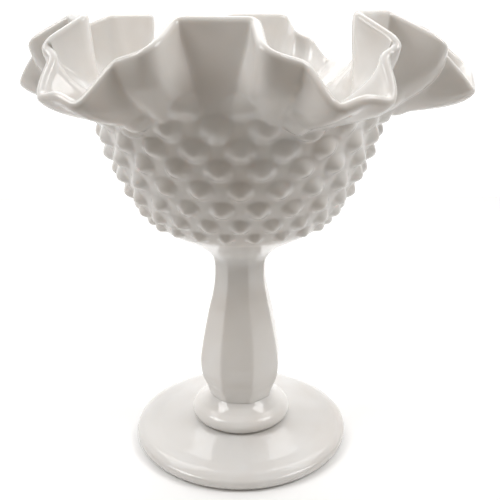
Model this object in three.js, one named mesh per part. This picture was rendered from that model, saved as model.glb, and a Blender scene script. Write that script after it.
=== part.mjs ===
import * as THREE from "three";

// A footed glass compote: a disc foot, a collar, an eight-sided stem and a hobnail bowl whose
// rim is crimped into six peaks and six flared tongues. Millimetres, +Z up. The origin is on the
// stem's axis in the plane the foot rests on, and the front is -Y.

// Foot
const FOOT_R = 39.2;
const REST_R_IN = 29.5;
const REST_R_OUT = 36.5;
const FOOT_HOLLOW = 2.0;
const FOOT_TOP_R = 19.0;
const FOOT_TOP_Z = 8.0;

// Collar
const COLLAR_R = 18.2;
const COLLAR_TOP_R = 11.4;
const COLLAR_TOP_Z = 17.0;

// Stem
const STEM_TOP_Z = 72.0;
const STEM_TOP_R = 10.7;
const STEM_BELLY_R = 14.1;
const STEM_BELLY_Z = 31.0;
const STEM_NECK_R = 8.6;
const STEM_NECK_Z = 65.0;
const FACETS = 8;
const FACET_TURN = THREE.MathUtils.degToRad(-6);
const FACET_EDGE = THREE.MathUtils.degToRad(5);

// Bowl: the meridian's two curves, below and beside the hobs, as radius and height
const UNDERSIDE = [[STEM_TOP_R, STEM_TOP_Z], [13.6, 75.2], [17.4, 77.2], [25.0, 81.4]];
const SIDE = [[25.0, 81.4], [32.5, 85.5], [40.0, 100.0], [45.5, 118.0]];
const FLOOR_Z = 83.0;
const WALL_LOW = 4.6;
const WALL_SHOULDER = 3.6;
const HALF_RIM = 1.5;

// Hobs, and how far up the side each row of them sits
const HOBS = 22;
const ROW_ARCS = [7.0, 12.8, 19.6, 26.9, 33.9, 40.0, 46.1, 51.9];
const HOB_HEIGHT = 2.5;
const HOB_RADIUS_LOW = 2.9;
const HOB_RADIUS_HIGH = 4.1;

// Crimped rim: radius, height and turn in degrees of each peak, and of the tongue that follows it.
// A tongue also has a tilt, the rise from its first corner to its last.
const LOBES = 6;
const FRONT = THREE.MathUtils.degToRad(-7.5);
const PEAKS = [
  { r: 46.5, z: 149.4, turn: 0 },
  { r: 46.0, z: 150.8, turn: 1.2 },
  { r: 49.5, z: 149.8, turn: 0 },
  { r: 50.0, z: 149.4, turn: 0 },
  { r: 48.0, z: 149.2, turn: 0 },
  { r: 50.5, z: 150.0, turn: 0 },
];
const TONGUES = [
  { r: 70.5, z: 130.5, turn: 3.5, tilt: 1 },
  { r: 73.5, z: 131.5, turn: 0.5, tilt: 6 },
  { r: 69.0, z: 132.0, turn: 0, tilt: 0 },
  { r: 70.5, z: 131.0, turn: 0, tilt: 0 },
  { r: 71.4, z: 132.5, turn: -0.5, tilt: -6 },
  { r: 70.5, z: 130.2, turn: -4, tilt: -1 },
];

// The crimp from a peak to the middle of the next tongue: share of the lobe, degrees from the
// peak, share of the way out, share of the fall, lean of the wall from upright in degrees, and
// how far up the wall runs straight before it turns outwards and after it has turned up again.
// A flat panel at the peak, a ridge, a hollow, and the corner and middle of the tongue.
const CRIMP = [
  [0.0, 0.0, 0.0, 0.0, 3, 13, 11],
  [0.09, 12.0, 0.04, 0.0, 5, 13, 11],
  [0.2, 12.2, 0.57, 0.3, 6, 14, 12],
  [0.24, 13.6, 0.65, 0.39, 12, 12, 12],
  [0.28, 15.8, 0.63, 0.45, 8, 9, 13],
  [0.335, 19.4, 0.63, 0.52, 8, 9, 11],
  [0.385, 21.2, 0.84, 0.8, 12, 8, 10],
  [0.425, 23.4, 0.97, 1.03, 44, 5.5, 8],
  [0.5, 30.0, 0.96, 0.93, 50, 5.0, 8],
];
const SOFTNESS = 0.024;

const TURN = 2 * Math.PI;
const SLOPE = 1e-3;

const glass = (r, g, b) =>
  new THREE.MeshStandardMaterial({ color: new THREE.Color(r, g, b), roughness: 0.1, metalness: 0 });

const mix = (a, b, t) => a + (b - a) * t;
const clamp = (t) => Math.min(1, Math.max(0, t));
const ease = (t) => clamp(t) ** 2 * (3 - 2 * clamp(t));

// A cubic curve through the first and last of four [radius, height] points.
function curve(points, t) {
  const k = [(1 - t) ** 3, 3 * (1 - t) ** 2 * t, 3 * (1 - t) * t * t, t ** 3];
  return [0, 1].map((axis) => points.reduce((sum, p, i) => sum + p[axis] * k[i], 0));
}

const pointAt = (angle, r, z) =>
  new THREE.Vector3(r * Math.sin(angle), -r * Math.cos(angle), z);

// The corners of the crimped rim before they are softened. A place on the bowl is counted in
// lobes: u is 0 at the front peak, 0.5 at the tongue after it and 1 at the second peak.
function rimKeys() {
  const keys = [];
  TONGUES.forEach((tongue, lobe) => {
    for (const side of [1, -1]) {
      const peak = PEAKS[side > 0 ? lobe : (lobe + 1) % LOBES];
      for (const [share, degrees, out, fall, lean, low, high] of CRIMP) {
        const turn = mix(peak.turn, tongue.turn, ease((degrees - 10) / 9));
        const tilt = share < 0.5 ? (-side * tongue.tilt * fall) / 2 : 0;
        keys.push({
          u: lobe + 0.5 + side * (share - 0.5),
          angle: FRONT + THREE.MathUtils.degToRad(60 * lobe + 30 + side * (degrees - 30) + turn),
          r: mix(peak.r, tongue.r, out),
          z: mix(peak.z, tongue.z, fall) + tilt,
          lean: THREE.MathUtils.degToRad(lean),
          low,
          high,
        });
      }
    }
  });
  return keys.sort((a, b) => a.u - b.u);
}

const KEYS = rimKeys();

// The rim at a place, straight between its corners.
function sharpRimAt(u) {
  const turns = Math.floor(u / LOBES);
  const at = u - turns * LOBES;
  const i = Math.max(1, KEYS.findIndex((key) => key.u > at));
  const before = KEYS[i - 1];
  const after = KEYS[i];
  const t = (at - before.u) / (after.u - before.u);
  return {
    angle: mix(before.angle, after.angle, t) + turns * TURN,
    r: mix(before.r, after.r, t),
    z: mix(before.z, after.z, t),
    lean: mix(before.lean, after.lean, t),
    low: mix(before.low, after.low, t),
    high: mix(before.high, after.high, t),
  };
}

// The rim at a place with its corners rounded by a short average.
function rimAt(u) {
  const rim = { angle: 0, r: 0, z: 0, lean: 0, low: 0, high: 0 };
  const reach = [-1, -0.75, -0.5, -0.25, 0, 0.25, 0.5, 0.75, 1];
  const weights = reach.map((x) => 1 - 0.9 * x * x);
  const total = weights.reduce((sum, w) => sum + w, 0);
  reach.forEach((x, i) => {
    const sharp = sharpRimAt(u + x * SOFTNESS);
    for (const name of Object.keys(rim)) rim[name] += (sharp[name] * weights[i]) / total;
  });
  return rim;
}

// The wall at a place: s runs 0 to 1 on the underside, to 2 on the side and to 3 on the flare,
// which leaves the side upwards and ends on the rim. The last value is the length of flare below.
function section(u, s) {
  const angle = FRONT + (TURN / LOBES) * u;
  if (s <= 2) {
    const [r, z] = s > 1 ? curve(SIDE, s - 1) : curve(UNDERSIDE, s);
    return { angle, r, z, along: 0 };
  }
  const t = s - 2;
  const rim = rimAt(u);
  const start = SIDE[3];
  const rise = Math.atan2(start[0] - SIDE[2][0], start[1] - SIDE[2][1]);
  const reach = Math.hypot(rim.r - start[0], rim.z - start[1]);
  const lower = [start[0] + rim.low * Math.sin(rise), start[1] + rim.low * Math.cos(rise)];
  const upper = [rim.r - rim.high * Math.sin(rim.lean), rim.z - rim.high * Math.cos(rim.lean)];
  const [r, z] = curve([start, lower, upper, [rim.r, rim.z]], t);
  return { angle: mix(angle, rim.angle, ease(t ** 1.5)), r, z, along: reach * t };
}

function wall(u, s) {
  const { angle, r, z } = section(u, s);
  return pointAt(angle, r, z);
}

function normalAt(u, s) {
  const around = wall(u + SLOPE, s).sub(wall(u - SLOPE, s));
  const up = wall(u, Math.min(3, s + SLOPE)).sub(wall(u, Math.max(0, s - SLOPE)));
  return around.cross(up).normalize();
}

// Distances up the side from its foot.
const ARC = sideArc();
function sideArc() {
  const points = Array.from({ length: 201 }, (_, i) => curve(SIDE, i / 200));
  const arc = [0];
  for (let i = 1; i < points.length; i++) {
    const step = Math.hypot(points[i][0] - points[i - 1][0], points[i][1] - points[i - 1][1]);
    arc.push(arc[i - 1] + step);
  }
  return arc;
}

function arcAt(s) {
  const at = clamp(s - 1) * (ARC.length - 1);
  const i = Math.min(ARC.length - 2, Math.floor(at));
  return mix(ARC[i], ARC[i + 1], at - i);
}

function sAtArc(length) {
  const i = Math.max(1, ARC.findIndex((x) => x >= length));
  return 1 + (i - 1 + (length - ARC[i - 1]) / (ARC[i] - ARC[i - 1])) / (ARC.length - 1);
}

// Height of the hobs above the glass between them. They grow towards the shoulder and sink again
// on the flare, where the glass was stretched and they are wider than they are tall.
function hobHeight(u, s) {
  if (s <= 1) return 0;
  const { angle, r, along } = section(u, s);
  const here = arcAt(s) + along;
  const pitch = TURN / HOBS;
  let height = 0;
  ROW_ARCS.forEach((arc, row) => {
    const grown = row / (ROW_ARCS.length - 1);
    const off = angle / pitch - (row % 2 ? 0 : 0.5);
    const across = ((off - Math.round(off)) * pitch * r) / (1 + 0.25 * grown);
    const radius = mix(HOB_RADIUS_LOW, HOB_RADIUS_HIGH, Math.sqrt(grown));
    const away = Math.hypot(across, here - arc) / radius;
    const tall = HOB_HEIGHT * (0.68 + 0.9 * grown - 1.05 * grown ** 3);
    if (away < 1) height += tall * (0.5 + 0.5 * Math.cos(Math.PI * away)) ** 0.62;
  });
  return height;
}

// On the flare the section runs through the middle of the glass, and below it along its outside.
function outside(u, s) {
  const out = HALF_RIM * ease(s - 2) + hobHeight(u, s);
  return wall(u, s).addScaledVector(normalAt(u, s), out);
}

function inside(u, s) {
  const low = mix(WALL_LOW, WALL_SHOULDER, clamp(s - 1));
  const thick = mix(low, 2 * HALF_RIM, clamp(s - 2));
  return wall(u, s).addScaledVector(normalAt(u, s), HALF_RIM * ease(s - 2) - thick);
}

// The rounded edge of the rim, midway through the wall.
function lip(u) {
  const middle = outside(u, 3).add(inside(u, 3)).multiplyScalar(0.5);
  const up = wall(u, 3).sub(wall(u, 3 - SLOPE)).normalize();
  return middle.addScaledVector(up, HALF_RIM);
}

// A ring of evenly spaced points on a surface.
const ring = (count, place) =>
  Array.from({ length: count }, (_, i) => ({ at: i / count, p: place((TURN * i) / count) }));

const flatRing = (count, r, z) => ring(count, (angle) => pointAt(angle, r, z));

// A ring of the bowl whose points start at angle 0, where the hobs are counted from.
const hobRing = (count, surface, s) =>
  ring(count, (angle) => surface(((angle - FRONT) * LOBES) / TURN, s));

// A ring of the bowl whose points start at the front peak, where the crimps are counted from.
function crimpRing(surface, s) {
  const count = 24 * LOBES;
  return Array.from({ length: count }, (_, i) => ({
    at: i / count + FRONT / TURN,
    p: surface((i * LOBES) / count, s),
  }));
}

// Triangles between two rings, which may differ in count, from the lower to the upper side.
function stitch(lower, upper, out) {
  const place = (points, i) => points[i % points.length].at + Math.floor(i / points.length);
  let i = 0;
  let j = 0;
  while (i < lower.length || j < upper.length) {
    const a = lower[i % lower.length];
    const b = upper[j % upper.length];
    const nextA = i < lower.length ? place(lower, i) + place(lower, i + 1) : Infinity;
    const nextB = j < upper.length ? place(upper, j) + place(upper, j + 1) : Infinity;
    if (nextA <= nextB) {
      i++;
      out.push(a.p, lower[i % lower.length].p, b.p);
    } else {
      j++;
      out.push(a.p, upper[j % upper.length].p, b.p);
    }
  }
}

function cap(points, centre, facingDown, out) {
  points.forEach(({ p }, i) => {
    const next = points[(i + 1) % points.length].p;
    if (facingDown) out.push(centre, next, p);
    else out.push(centre, p, next);
  });
}

// A closed body from rings listed up its outside and, if it is hollow, back down its inside.
function body(name, rings, bottom, top, material) {
  const corners = [];
  cap(rings[0], bottom, true, corners);
  for (let k = 1; k < rings.length; k++) stitch(rings[k - 1], rings[k], corners);
  cap(rings[rings.length - 1], top, false, corners);
  const geometry = new THREE.BufferGeometry().setFromPoints(corners);
  geometry.computeVertexNormals();
  const mesh = new THREE.Mesh(geometry, material);
  mesh.name = name;
  return mesh;
}

const onAxis = (z) => new THREE.Vector3(0, 0, z);

function foot() {
  const profile = [
    [REST_R_IN - 1.5, FOOT_HOLLOW],
    [REST_R_IN, 0],
    [REST_R_OUT, 0],
    [REST_R_OUT + 1.8, 0.7],
    [FOOT_R, 2.4],
    [FOOT_R - 0.3, 3.6],
    [FOOT_R - 1.6, 4.4],
    [FOOT_R - 9.2, 5.4],
    [FOOT_TOP_R + 3, 6.8],
    [FOOT_TOP_R - 2, FOOT_TOP_Z],
  ];
  const rings = profile.map(([r, z]) => flatRing(72, r, z));
  return body("foot", rings, onAxis(FOOT_HOLLOW), onAxis(FOOT_TOP_Z), glass(0.86, 0.85, 0.84));
}

function collar() {
  const profile = [
    [COLLAR_R - 1.6, FOOT_TOP_Z],
    [COLLAR_R - 0.5, FOOT_TOP_Z + 1.0],
    [COLLAR_R, FOOT_TOP_Z + 2.7],
    [COLLAR_R - 1.0, FOOT_TOP_Z + 4.5],
    [COLLAR_R - 3.7, FOOT_TOP_Z + 6.2],
    [COLLAR_TOP_R + 1.2, FOOT_TOP_Z + 7.7],
    [COLLAR_TOP_R, COLLAR_TOP_Z],
  ];
  const rings = profile.map(([r, z]) => flatRing(48, r, z));
  return body("collar", rings, onAxis(FOOT_TOP_Z), onAxis(COLLAR_TOP_Z), glass(0.85, 0.84, 0.83));
}

// One ring of the stem: eight flats with softened edges, fading to a circle at either end.
function stemRing(r, z, flatness) {
  const half = Math.PI / FACETS;
  const places = [-half + FACET_EDGE, 0, half - FACET_EDGE];
  const points = [];
  for (let f = 0; f < FACETS; f++) {
    for (const off of places) {
      const out = r * mix(1, 1 / Math.cos(off), flatness);
      points.push(pointAt(FACET_TURN + f * 2 * half + off, out, z));
    }
  }
  return points.map((p, i) => ({ at: i / points.length, p }));
}

function stem() {
  const profile = [
    [COLLAR_TOP_R - 0.2, COLLAR_TOP_Z, 0.6],
    [STEM_BELLY_R - 2.0, 21.0, 1],
    [STEM_BELLY_R - 0.7, 24.5, 1],
    [STEM_BELLY_R, STEM_BELLY_Z, 1],
    [STEM_BELLY_R - 0.6, 36.8, 1],
    [STEM_BELLY_R - 1.9, 44.4, 1],
    [STEM_BELLY_R - 3.3, 51.5, 1],
    [STEM_NECK_R + 1.1, 56.2, 1],
    [STEM_NECK_R + 0.3, 60.8, 1],
    [STEM_NECK_R, STEM_NECK_Z, 1],
    [STEM_NECK_R + 0.2, 68.0, 0.7],
    [STEM_NECK_R + 0.8, 70.2, 0.35],
    [STEM_TOP_R, STEM_TOP_Z, 0],
  ];
  const rings = profile.map(([r, z, flatness]) => stemRing(r, z, flatness));
  return body("stem", rings, onAxis(COLLAR_TOP_Z), onAxis(STEM_TOP_Z), glass(0.83, 0.82, 0.81));
}

function bowl() {
  const rings = [0, 0.35, 0.7].map((s) => hobRing(32 + 40 * s, outside, s));
  const sideLength = ARC[ARC.length - 1];
  for (let arc = 0; arc < sideLength - 1; arc += sideLength / 19) {
    rings.push(hobRing(4 * HOBS, outside, sAtArc(arc)));
  }
  const flare = [2.0, 2.06, 2.12, 2.19, 2.27, 2.36, 2.46, 2.57, 2.7, 2.85, 3.0];
  for (const s of flare) rings.push(crimpRing(outside, s));
  rings.push(crimpRing(lip));
  for (const s of [2.94, 2.8, 2.6, 2.4, 2.2, 2.05]) rings.push(crimpRing(inside, s));
  for (const s of [1.9, 1.72, 1.54, 1.38, 1.22, 1.08]) rings.push(hobRing(60, inside, s));
  rings.push(flatRing(30, 12, FLOOR_Z + 0.4));
  return body("bowl", rings, onAxis(STEM_TOP_Z), onAxis(FLOOR_Z), glass(0.87, 0.86, 0.85));
}

const compote = new THREE.Group();
compote.name = "compote";
compote.add(foot(), collar(), stem(), bowl());

export default compote;
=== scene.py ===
"""Looks of a footed hobnail compote in opaque white glass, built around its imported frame."""

import math

import bpy
import numpy as np
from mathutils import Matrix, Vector


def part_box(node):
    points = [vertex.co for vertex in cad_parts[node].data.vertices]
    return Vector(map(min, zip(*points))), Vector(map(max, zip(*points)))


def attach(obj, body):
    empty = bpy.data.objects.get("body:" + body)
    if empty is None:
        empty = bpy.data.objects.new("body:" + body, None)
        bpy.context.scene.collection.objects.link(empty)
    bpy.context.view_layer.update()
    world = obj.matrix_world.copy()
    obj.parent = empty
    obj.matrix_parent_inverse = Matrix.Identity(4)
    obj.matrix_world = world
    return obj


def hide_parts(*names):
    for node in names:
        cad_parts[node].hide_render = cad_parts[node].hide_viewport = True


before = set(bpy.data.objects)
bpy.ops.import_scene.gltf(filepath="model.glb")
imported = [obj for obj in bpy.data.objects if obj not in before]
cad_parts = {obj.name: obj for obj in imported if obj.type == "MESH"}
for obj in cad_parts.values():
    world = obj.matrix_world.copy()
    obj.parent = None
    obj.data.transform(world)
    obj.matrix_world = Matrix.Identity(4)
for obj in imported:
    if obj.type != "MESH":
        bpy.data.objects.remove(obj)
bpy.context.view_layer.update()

# ---------------------------------------------------------------------------------------------
# Sizes in millimetres, z up from the table. The heights where the pieces meet come from the
# frame.

MM = 1000.0
TURN = 2 * math.pi

FOOT_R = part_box("foot")[1].x * MM
FOOT_TOP_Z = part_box("foot")[1].z * MM
COLLAR_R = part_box("collar")[1].x * MM
COLLAR_TOP_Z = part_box("stem")[0].z * MM
STEM_TOP_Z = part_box("bowl")[0].z * MM
REST_R_IN, REST_R_OUT = 29.5, 36.5
# height of the hollow inside the resting ring
FOOT_HOLLOW = 2.0
COLLAR_TOP_R = 11.4
STEM_TOP_R = 10.7
FACETS = 8
FACET_TURN = math.radians(-6)
FACET_SHARPNESS = 70

# the outside of the bowl below its flare, as two cubic curves of (radius, height)
UNDERSIDE = [(STEM_TOP_R, STEM_TOP_Z), (13.6, 75.2), (17.4, 77.2), (25.0, 81.4)]
SIDE = [(25.0, 81.4), (32.5, 85.5), (40.0, 100.0), (45.5, 118.0)]
FLOOR_Z = 83.0
# how far up the side the inner wall ends, and how sharply the floor's dish rises to it
DISH_ARC, DISH_POWER = 3.5, 2.2
# thickness of the wall at the bottom and at the top of the side, and half of it at the rim
WALL_LOW, WALL_SHOULDER = 4.6, 3.6
HALF_RIM = 1.45

HOBS = 22
# how far up the side each row of hobs sits
ROW_ARCS = [7.0, 12.8, 19.6, 26.9, 33.9, 40.0, 46.1, 51.9]
# radius, width gained, and height of the hobs, from the lowest row to the uppermost
HOB_R, HOB_R_GAIN = 2.9, 1.2
HOB_WIDENING = 0.25
HOB_TALL = 2.5
HOB_TALL_START, HOB_TALL_GAIN, HOB_TALL_LOSS = 0.68, 0.9, 1.05
HOB_BLUNTNESS = 0.62
# an arc that no hob reaches, for the underside of the bowl
NO_HOB_ARC = -50

LOBES = 6
LOBE_DEGREES = 360 / LOBES
FRONT = math.radians(-7.5)
# radius, height and turn in degrees of the rim at each peak, and of the tongue that follows it; a
# tongue also has a tilt, the rise in mm from its first corner to its last
PEAKS = [
    (46.5, 149.4, 0), (46.0, 150.8, 1.2), (49.5, 149.8, 0), (50.0, 149.4, 0), (48.0, 149.2, 0),
    (50.5, 150.0, 0),
]
TONGUES = [
    (70.5, 130.5, 3.5, 1.0), (73.5, 131.5, 0.5, 6.0), (69.0, 132.0, 0, 0),
    (70.5, 131.0, 0, 0), (71.4, 132.5, -0.5, -6.0), (70.5, 130.2, -4.0, -1.0),
]
# the crimp from a peak to the next tongue: share of the lobe, degrees from the peak, share of the
# way out, share of the fall, degrees that the wall leans outwards, and how many mm of the wall run
# straight before it turns outwards and after it has turned up again
CRIMP = [
    (0.0, 0.0, 0.0, 0.0, 3, 13, 11), (0.09, 12.0, 0.04, 0.0, 5, 13, 11),
    (0.2, 12.2, 0.57, 0.3, 6, 14, 12), (0.24, 13.6, 0.65, 0.39, 12, 12, 12),
    (0.28, 15.8, 0.63, 0.45, 8, 9, 13), (0.335, 19.4, 0.63, 0.52, 8, 9, 11),
    (0.385, 21.2, 0.84, 0.8, 12, 8, 10), (0.425, 23.4, 0.97, 1.03, 44, 5.5, 8),
    (0.5, 30.0, 0.96, 0.93, 50, 5.0, 8),
]
# how many degrees from a peak the rim turns with it, and over how many more it goes over to the
# turn of the tongue
PEAK_DEGREES, OVER_DEGREES = 10, 9
# share of a lobe that the corners of the rim are averaged over on each side, in how many samples,
# and how much less the outermost samples weigh
SOFTNESS, SOFT_SAMPLES, SOFT_FADE = 0.024, 9, 0.9
# how late the flare turns from the body's angle to the rim's
FLARE_POWER = 1.5

# points round each piece and rings of points along it
COLUMNS = 408
UNDER_RINGS, SIDE_RINGS, FLARE_RINGS, LIP_RINGS = 13, 90, 64, 10
INNER_FLARE_RINGS, INNER_SIDE_RINGS, DISH_RINGS = 30, 24, 9
STEM_COLUMNS, STEM_RINGS = 256, 110
COLLAR_COLUMNS, COLLAR_RINGS = 192, 40
FOOT_COLUMNS, FOOT_RINGS = 224, 150
ARC_SAMPLES = 201
# step for measuring the slopes of a surface
STEP = 1e-3

# ---------------------------------------------------------------------------------------------
# Surfaces of the bowl. A place on the wall is u, counted in lobes round it, and s, which runs
# 0 to 1 under the bowl, to 2 up its side and to 3 on the flare.


def ease(t):
    t = np.clip(t, 0, 1)
    return t * t * (3 - 2 * t)


def cubic(points, t):
    """A cubic curve with four control points, each an (r, z) pair or a pair of arrays."""
    p = [np.stack(np.broadcast_arrays(*q), -1) for q in points]
    t = np.asarray(t)[..., None]
    return (
        (1 - t) ** 3 * p[0] + 3 * (1 - t) ** 2 * t * p[1]
        + 3 * (1 - t) * t * t * p[2] + t ** 3 * p[3]
    )


def rim_keys():
    """Rows of (lobe share, angle, radius, height, lean, runs) all the way round the rim."""
    half = LOBE_DEGREES / 2
    rows = []
    for lobe in range(LOBES):
        after = (lobe + 1) % LOBES
        out, low, turn, tilt = TONGUES[lobe]
        for (r, z, own), side in ((PEAKS[lobe], 1), (PEAKS[after], -1)):
            # the way back up to the next peak leaves out the middle of the tongue, already listed
            for share, degrees, outward, fall, lean, low_run, top_run in CRIMP[:: side][side < 0:]:
                near = ease((degrees - PEAK_DEGREES) / OVER_DEGREES)
                middle = LOBE_DEGREES * lobe + half + side * (degrees - half)
                middle = middle + own + (turn - own) * near
                corner = -side * tilt / 2 * max(0, fall) * (share < 0.5)
                rows.append((
                    lobe + 0.5 + side * (share - 0.5), FRONT + math.radians(middle),
                    r + (out - r) * outward, z + (low - z) * fall + corner, math.radians(lean),
                    low_run, top_run,
                ))
    first = np.array(rows[0])
    rows = [row for row in rows if row[0] < LOBES]
    return np.array(rows + [first + np.array([LOBES, TURN, 0, 0, 0, 0, 0])])


KEYS = rim_keys()


def rim_at(u):
    """Angle, radius, height, lean and both runs of the rim, its corners softened by a short
    average."""
    total = 0
    reach = np.linspace(-1, 1, SOFT_SAMPLES)
    weights = 1 - reach ** 2 * SOFT_FADE
    for offset, weight in zip(reach * SOFTNESS, weights / weights.sum()):
        at = u + offset
        turns = np.floor(at / LOBES)
        row = [
            np.interp(at - turns * LOBES, KEYS[:, 0], KEYS[:, k])
            for k in range(1, KEYS.shape[1])
        ]
        row[0] = row[0] + turns * TURN
        total = total + weight * np.stack(row)
    return total


def place(angle, r, z):
    return np.stack([r * np.sin(angle), -r * np.cos(angle), z], -1)


def section(u, s):
    """Angle, radius and height of the wall, and the distance out along the flare."""
    u, s = np.broadcast_arrays(u, s)
    rim_angle, r, z, lean, low_run, top_run = rim_at(u)
    start, before = np.array(SIDE[3]), np.array(SIDE[2])
    rise = (start - before) / np.linalg.norm(start - before)
    reach = np.hypot(r - start[0], z - start[1])
    lower = (start[0] + low_run * rise[0], start[1] + low_run * rise[1])
    upper = (r - top_run * np.sin(lean), z - top_run * np.cos(lean))
    t = np.clip(s - 2, 0, 1)
    flare = cubic([tuple(start), lower, upper, (r, z)], t)
    side = cubic(SIDE, np.clip(s - 1, 0, 1))
    under = cubic(UNDERSIDE, np.clip(s, 0, 1))
    rz = np.where((s > 2)[..., None], flare, np.where((s > 1)[..., None], side, under))
    body_angle = FRONT + TURN / LOBES * u
    angle = body_angle + (rim_angle - body_angle) * ease(t ** FLARE_POWER)
    return angle, rz[..., 0], rz[..., 1], reach * t


def wall(u, s):
    return place(*section(u, s)[:3])


def wall_normal(u, s):
    around = wall(u + STEP, s) - wall(u - STEP, s)
    up = wall(u, np.minimum(3, s + STEP)) - wall(u, np.maximum(0, s - STEP))
    n = np.cross(around, up)
    return n / np.linalg.norm(n, axis=-1, keepdims=True)


def side_arc():
    """Values of s up the side, and the distance along the side at each."""
    s = np.linspace(1, 2, ARC_SAMPLES)
    line = cubic(SIDE, s - 1)
    steps = np.linalg.norm(np.diff(line, axis=0), axis=1)
    return s, np.concatenate([[0], np.cumsum(steps)])


ARC_S, ARC = side_arc()


def hob_height(u, s):
    angle, r, _, along = section(u, s)
    here = np.interp(s, ARC_S, ARC, left=NO_HOB_ARC) + along
    pitch = TURN / HOBS
    height = np.zeros(r.shape)
    for row, arc in enumerate(ROW_ARCS):
        grown = row / (len(ROW_ARCS) - 1)
        off = angle / pitch - (0 if row % 2 else 0.5)
        across = (off - np.round(off)) * pitch * r / (1 + HOB_WIDENING * grown)
        radius = HOB_R + HOB_R_GAIN * math.sqrt(grown)
        away = np.hypot(across, here - arc) / radius
        tall = HOB_TALL * (
            HOB_TALL_START + HOB_TALL_GAIN * grown - HOB_TALL_LOSS * grown ** 3
        )
        height += tall * (0.5 + 0.5 * np.cos(np.pi * np.clip(away, 0, 1))) ** HOB_BLUNTNESS
    return height


def outside(u, s):
    out = HALF_RIM * ease(s - 2) + hob_height(u, s)
    return wall(u, s) + out[..., None] * wall_normal(u, s)


def inside(u, s):
    thick = np.interp(s, [1, 2, 3], [WALL_LOW, WALL_SHOULDER, 2 * HALF_RIM])
    back = thick - HALF_RIM * ease(s - 2)
    return wall(u, s) - back[..., None] * wall_normal(u, s)


# ---------------------------------------------------------------------------------------------
# Meshes


def rings_to_object(name, rings, bottom_z, top_z, sharp_rings=()):
    """A closed body from equal rings of points, listed up its outside and down its inside, with
    a point on the axis at each end."""
    rings = np.asarray(rings) / MM
    count, around = rings.shape[:2]
    ends = [[0, 0, bottom_z / MM], [0, 0, top_z / MM]]
    points = np.concatenate([rings.reshape(-1, 3), ends])
    low = np.arange(count - 1)[:, None] * around
    i = np.arange(around)[None]
    j = (i + 1) % around
    quads = np.stack([low + i, low + j, low + around + j, low + around + i], -1).reshape(-1, 4)
    last = (count - 1) * around
    i, j = i[0], j[0]
    down = np.stack([np.full(around, count * around), j, i], -1)
    up = np.stack([np.full(around, count * around + 1), last + i, last + j], -1)
    mesh = bpy.data.meshes.new(name)
    mesh.from_pydata(points.tolist(), [], quads.tolist() + down.tolist() + up.tolist())
    mesh.polygons.foreach_set("use_smooth", [True] * len(mesh.polygons))
    for edge in mesh.edges:
        a, b = (vertex // around for vertex in edge.vertices)
        if a == b and a in sharp_rings:
            edge.use_edge_sharp = True
    mesh.update()
    obj = bpy.data.objects.new(name, mesh)
    bpy.context.scene.collection.objects.link(obj)
    return obj


def smooth_line(points, count):
    """A smooth curve through points, as count rows of the same values. It can run a little past
    points where it bends sharply."""
    p = np.array(points, float)
    length = np.concatenate([[0], np.cumsum(np.linalg.norm(np.diff(p[:, :2], axis=0), axis=1))])
    slope = np.zeros_like(p)
    step = np.diff(length)[:, None]
    chord = np.diff(p, axis=0) / step
    slope[1:-1] = (chord[:-1] * step[1:] + chord[1:] * step[:-1]) / (step[1:] + step[:-1])
    slope[0], slope[-1] = chord[0], chord[-1]
    at = np.linspace(0, length[-1], count)
    k = np.clip(np.searchsorted(length, at, side="right") - 1, 0, len(p) - 2)
    h = step[k]
    t = ((at - length[k]) / h[:, 0])[:, None]
    return (
        (2 * t ** 3 - 3 * t ** 2 + 1) * p[k] + (t ** 3 - 2 * t ** 2 + t) * h * slope[k]
        + (3 * t ** 2 - 2 * t ** 3) * p[k + 1] + (t ** 3 - t ** 2) * h * slope[k + 1]
    )


def columns(around):
    return np.linspace(0, TURN, around, endpoint=False)[None]


def lathe(name, profile, count, around, bottom_z, top_z, sharp_rings=()):
    """A round piece from a profile of (radius, height), kept above the table and below top_z."""
    line = smooth_line(profile, count)
    r, z = line[:, 0:1], np.clip(line[:, 1:2], 0, top_z)
    rings = place(columns(around), np.repeat(r, around, 1), np.repeat(z, around, 1))
    return rings_to_object(name, rings, bottom_z, top_z, sharp_rings)


def make_foot():
    profile = [
        (1.0, FOOT_HOLLOW), (20.0, FOOT_HOLLOW), (REST_R_IN - 1.5, FOOT_HOLLOW - 0.2),
        (REST_R_IN, 0), (REST_R_OUT, 0), (REST_R_OUT + 1.8, 0.7), (FOOT_R, 2.4),
        (FOOT_R - 0.3, 3.6), (FOOT_R - 1.6, 4.4), (FOOT_R - 9.2, 5.4), (22.0, 6.8),
        (17.0, FOOT_TOP_Z), (1.0, FOOT_TOP_Z),
    ]
    return lathe("foot_glass", profile, FOOT_RINGS, FOOT_COLUMNS, FOOT_HOLLOW, FOOT_TOP_Z)


def make_collar():
    profile = [
        (COLLAR_R - 1.6, FOOT_TOP_Z), (COLLAR_R - 0.5, FOOT_TOP_Z + 1.0),
        (COLLAR_R, FOOT_TOP_Z + 2.7), (COLLAR_R - 1.0, FOOT_TOP_Z + 4.5),
        (COLLAR_R - 3.7, FOOT_TOP_Z + 6.2), (COLLAR_TOP_R + 1.2, FOOT_TOP_Z + 7.7),
        (COLLAR_TOP_R, COLLAR_TOP_Z),
    ]
    return lathe(
        "collar_glass", profile, COLLAR_RINGS, COLLAR_COLUMNS, FOOT_TOP_Z, COLLAR_TOP_Z,
        sharp_rings=(0, COLLAR_RINGS - 1),
    )


def facet_radius(angle, r, flatness):
    """Radius of a softened eight-sided section whose flats lie r from the axis."""
    flats = FACET_TURN + np.arange(FACETS) * TURN / FACETS
    facing = np.clip(np.cos(angle[..., None] - flats), 0, 1)
    sided = r / (facing ** FACET_SHARPNESS).sum(-1) ** (1 / FACET_SHARPNESS)
    return r + (sided - r) * flatness


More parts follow.
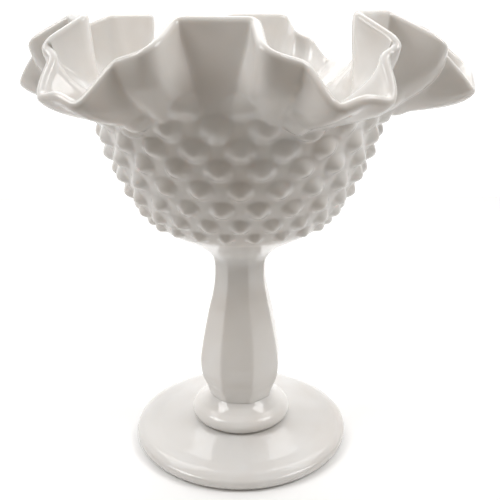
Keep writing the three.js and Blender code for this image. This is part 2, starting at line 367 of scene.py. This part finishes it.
def make_stem():
    # radius, height and how flat the facets are, from round (0) to flat (1)
    profile = [
        (COLLAR_TOP_R - 0.2, COLLAR_TOP_Z, 0.6), (12.1, 21.0, 1), (13.4, 24.5, 1), (14.1, 31.0, 1),
        (13.5, 36.8, 1), (12.2, 44.4, 1), (10.8, 51.5, 1), (9.7, 56.2, 1), (8.9, 60.8, 1),
        (8.6, 65.0, 1), (8.8, 68.0, 0.7), (9.4, 70.2, 0.35), (STEM_TOP_R, STEM_TOP_Z, 0),
    ]
    angle = columns(STEM_COLUMNS)
    r, z, flatness = smooth_line(profile, STEM_RINGS).T[..., None]
    flatness = np.clip(flatness, 0, 1)
    rings = place(angle, facet_radius(angle, r, flatness), np.repeat(z, STEM_COLUMNS, 1))
    return rings_to_object(
        "stem_glass", rings, COLLAR_TOP_Z, STEM_TOP_Z, sharp_rings=(0, STEM_RINGS - 1)
    )


def make_bowl():
    u = (np.arange(COLUMNS) * LOBES / COLUMNS)[None]
    arc = np.linspace(0, ARC[-1], SIDE_RINGS)
    outer_s = np.concatenate([
        np.linspace(0, 1, UNDER_RINGS)[:-1], np.interp(arc, ARC, ARC_S),
        np.linspace(2, 3, FLARE_RINGS)[1:],
    ])
    inner_s = np.concatenate([
        np.linspace(3, 2, INNER_FLARE_RINGS)[:-1],
        np.interp(np.linspace(ARC[-1], DISH_ARC, INNER_SIDE_RINGS), ARC, ARC_S),
    ])
    outer = outside(u, outer_s[:, None])
    inner = inside(u, inner_s[:, None])

    # the lip: a half round from the outer edge over the top of the wall to the inner edge
    middle = (outer[-1] + inner[0]) / 2
    half = (outer[-1] - inner[0]) / 2
    up = (wall(u, 3.0) - wall(u, 3 - STEP))[0]
    up *= np.linalg.norm(half, axis=-1, keepdims=True) / np.linalg.norm(up, axis=-1, keepdims=True)
    lip = [
        middle + half * math.cos(t) + up * math.sin(t)
        for t in np.linspace(0, np.pi, LIP_RINGS)[1:-1]
    ]

    # the floor: a shallow dish from the end of the inner wall to the axis
    edge = inner[-1]
    centre = np.array([0, 0, FLOOR_Z])
    floor = []
    for t in np.linspace(0, 1, DISH_RINGS)[1:-1]:
        ring = edge * (1 - t) + centre * t
        ring[:, 2] = FLOOR_Z + (edge[:, 2] - FLOOR_Z) * (1 - t) ** DISH_POWER
        floor.append(ring)
    rings = np.concatenate([outer, lip, inner, floor])
    return rings_to_object("bowl_glass", rings, STEM_TOP_Z, FLOOR_Z, sharp_rings=(0,))


# ---------------------------------------------------------------------------------------------
# Material

WARM_GLASS, COOL_GLASS = (0.745, 0.723, 0.695, 1), (0.765, 0.755, 0.74, 1)
PATCH_GLASS = (0.66, 0.615, 0.57, 1)
STREAK_GLASS = (0.715, 0.69, 0.66, 1)
# painted shade: the foot is the same glass as the rest, darkened to stand in for the dimmer light
# it gets
FOOT_PAINTED_SHADE = (0.48, 0.475, 0.47, 1)
# heights in metres: where the painted shade on the foot begins to fade and has gone, and the same
# for the dullness of the resting ring
PAINTED_SHADE_FADE = (0.0078, 0.0105)
DULL_FADE = (0.0001, 0.0006)


class Tree:
    """A short way to add and join shader nodes."""

    def __init__(self, tree):
        self.tree = tree

    def plug(self, node, inputs):
        for key, value in inputs.items():
            if isinstance(value, bpy.types.NodeSocket):
                self.tree.links.new(value, node.inputs[key])
            else:
                node.inputs[key].default_value = value

    def add(self, kind, inputs=None, **settings):
        node = self.tree.nodes.new(kind)
        for key, value in settings.items():
            setattr(node, key, value)
        self.plug(node, inputs or {})
        return node

    def coordinates(self, kind):
        return self.add("ShaderNodeTexCoord").outputs[kind]

    def separate(self, vector):
        return self.add("ShaderNodeSeparateXYZ", {0: vector}).outputs

    def noise(self, where, scale, detail=2.0):
        return self.add(
            "ShaderNodeTexNoise", {"Vector": where, "Scale": scale, "Detail": detail}
        ).outputs["Fac"]

    def range(self, value, low, high, to_low, to_high):
        return self.add(
            "ShaderNodeMapRange",
            {"Value": value, "From Min": low, "From Max": high, "To Min": to_low,
             "To Max": to_high},
        ).outputs["Result"]

    def math(self, operation, a, b):
        return self.add("ShaderNodeMath", {0: a, 1: b}, operation=operation).outputs[0]

    def mix(self, share, a, b):
        return self.add("ShaderNodeMix", {0: share, 6: a, 7: b}, data_type="RGBA").outputs[2]


def milk_glass():
    material = bpy.data.materials.new("milk_glass")
    material.use_nodes = True
    t = Tree(material.node_tree)
    where = t.coordinates("Object")
    height = t.separate(where)[2]

    # colour: clouds of warm and cool white, brownish patches, upright streaks, and painted shade
    # that darkens the foot
    cloud = t.noise(where, scale=28.0, detail=3.0)
    tone = t.mix(t.range(cloud, 0.35, 0.65, to_low=0, to_high=1), WARM_GLASS, COOL_GLASS)
    patch = t.noise(where, scale=42.0)
    tone = t.mix(t.range(patch, 0.48, 0.72, to_low=0, to_high=0.6), tone, PATCH_GLASS)
    drawn = t.add("ShaderNodeMapping", {"Vector": where, "Scale": (1, 1, 0.25)}).outputs[0]
    streak = t.noise(drawn, scale=90.0)
    tone = t.mix(t.range(streak, 0.55, 0.8, to_low=0, to_high=0.35), tone, STREAK_GLASS)
    # painted shade: darkens the foot, which is the same glass as the rest
    tone = t.mix(t.range(height, *PAINTED_SHADE_FADE, to_low=0.3, to_high=0), tone, FOOT_PAINTED_SHADE)

    # roughness: faint smudges, and dull where the foot rests on the table
    smudge = t.noise(where, scale=60.0, detail=4.0)
    ground = t.range(height, *DULL_FADE, to_low=1, to_high=0)
    rough = t.math(
        "ADD", t.range(smudge, 0.4, 0.75, to_low=0.07, to_high=0.16),
        t.math("MULTIPLY", ground, 0.4),
    )
    ripple = t.noise(where, scale=70.0, detail=1.0)
    bump = t.add("ShaderNodeBump", {"Height": ripple, "Strength": 0.25, "Distance": 0.0009})
    t.plug(material.node_tree.nodes["Principled BSDF"], {
        "Base Color": tone, "Roughness": rough, "Normal": bump.outputs[0], "IOR": 1.5,
        "Subsurface Weight": 0.25, "Subsurface Radius": (1.0, 0.9, 0.8),
        "Subsurface Scale": 0.003,
    })
    return material


# ---------------------------------------------------------------------------------------------
# Scene, in metres

glass = milk_glass()
for make, node in ((make_foot, "foot"), (make_collar, "collar"), (make_stem, "stem"),
                   (make_bowl, "bowl")):
    piece = make()
    piece.data.materials.append(glass)
    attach(piece, "root")
    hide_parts(node)


def aim(obj, target):
    obj.rotation_mode = "QUATERNION"
    obj.rotation_quaternion = (Vector(target) - obj.location).to_track_quat("-Z", "Y")


def area_light(name, location, size, power, target):
    light = bpy.data.lights.new(name, "AREA")
    light.shape = "RECTANGLE"
    light.size, light.size_y = size
    light.energy = power
    obj = bpy.data.objects.new(name, light)
    bpy.context.scene.collection.objects.link(obj)
    obj.location = location
    aim(obj, target)


def pale_floor():
    """A table top whose front edge lies just below the picture."""
    right, front, back = 0.5, -0.09, 0.35
    corners = [(-right, front, 0), (right, front, 0), (right, back, 0), (-right, back, 0)]
    mesh = bpy.data.meshes.new("floor")
    mesh.from_pydata(corners, [], [(0, 1, 2, 3)])
    obj = bpy.data.objects.new("floor", mesh)
    bpy.context.scene.collection.objects.link(obj)
    material = bpy.data.materials.new("floor")
    material.use_nodes = True
    t = Tree(material.node_tree)
    cloud = t.noise(t.coordinates("Object"), scale=6.0)
    tone = t.mix(cloud, (0.90, 0.90, 0.90, 1), (0.93, 0.93, 0.93, 1))
    shader = material.node_tree.nodes["Principled BSDF"]
    t.plug(shader, {"Base Color": tone, "Roughness": 0.9})
    mesh.materials.append(material)


def room():
    """A dim, warm room in front of the object that turns white behind it."""
    world = bpy.data.worlds.new("studio")
    world.use_nodes = True
    bpy.context.scene.world = world
    t = Tree(world.node_tree)
    backwards = t.separate(t.coordinates("Generated"))[1]
    strength = t.range(backwards, 0.35, 0.7, to_low=0.3, to_high=1.2)
    warm, neutral = (1, 0.92, 0.83, 1), (1, 0.99, 0.98, 1)
    colour = t.mix(t.range(backwards, -0.3, 0.4, to_low=0, to_high=1), warm, neutral)
    background = world.node_tree.nodes["Background"]
    t.plug(background, {"Color": colour, "Strength": strength})


def studio():
    pale_floor()
    room()
    bowl = (0, 0, 0.09)
    area_light("left", (-0.36, -0.1, 0.45), (0.25, 0.25), 1.3, bowl)
    area_light("right", (0.36, -0.1, 0.45), (0.25, 0.25), 1.3, bowl)
    area_light("top", (0, 0.34, 0.6), (0.8, 0.4), 2.1, (0, 0.34, 0))
    bpy.context.scene.view_settings.view_transform = "Standard"


def camera():
    """The camera fitted to the photograph: its angle, distance and lens."""
    data = bpy.data.cameras.new("camera")
    data.sensor_width = 36
    data.lens = 36 * 1.41
    data.clip_start = 0.01
    obj = bpy.data.objects.new("camera", data)
    bpy.context.scene.collection.objects.link(obj)
    obj.location = (0, -0.235, 0.1526)
    aim(obj, (0.0034, 0, 0.0721))
    bpy.context.scene.camera = obj


studio()
camera()
